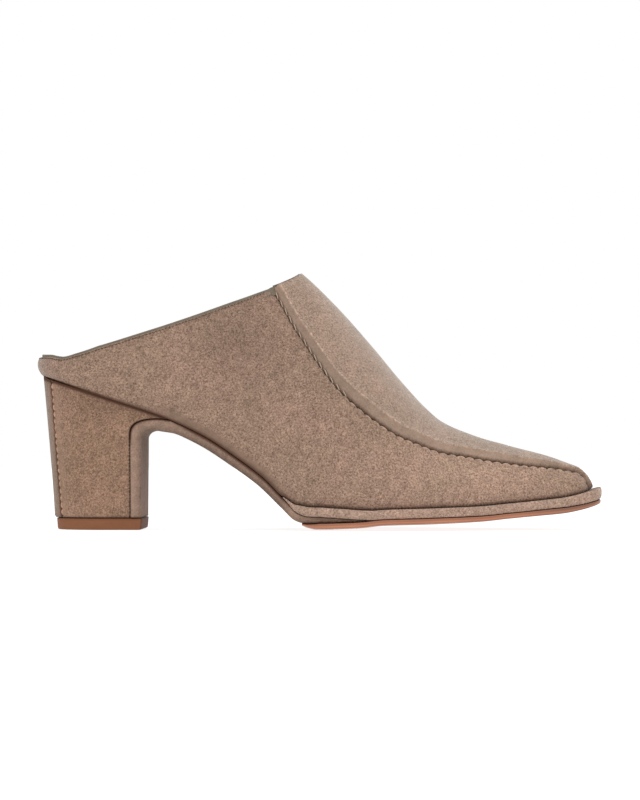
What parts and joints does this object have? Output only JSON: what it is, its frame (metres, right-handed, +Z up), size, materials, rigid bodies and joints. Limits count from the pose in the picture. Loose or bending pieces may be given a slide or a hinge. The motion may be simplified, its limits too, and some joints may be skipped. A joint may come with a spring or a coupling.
{
  "type": "leather mule",
  "caption": "Backless suede mule for the right foot with a pointed snipped toe, a raised centre strip over the vamp, a low heel rim and a covered block heel.",
  "frame": {"origin": "bottom centre of the whole shoe's box, on the floor that it stands on", "axes": "+X towards the toe, +Y towards the inner side of the foot, +Z up"},
  "size_m": [0.246, 0.0776, 0.1123],
  "materials": {
    "suede": "taupe suede, matt nap",
    "panel_suede": "taupe suede, matt nap, brushed a little lighter",
    "insole_leather": "smooth lining leather",
    "sole_leather": "smooth reddish brown, edge inked",
    "top_piece_rubber": "smooth brown, satin"
  },
  "bodies": {
    "root": {"upper": "suede", "centre_panel": "panel_suede", "insole": "insole_leather", "platform": "suede", "waist_cover": "suede", "outsole": "sole_leather", "heel": "suede", "top_piece": "top_piece_rubber"}
  },
  "joints": []
}
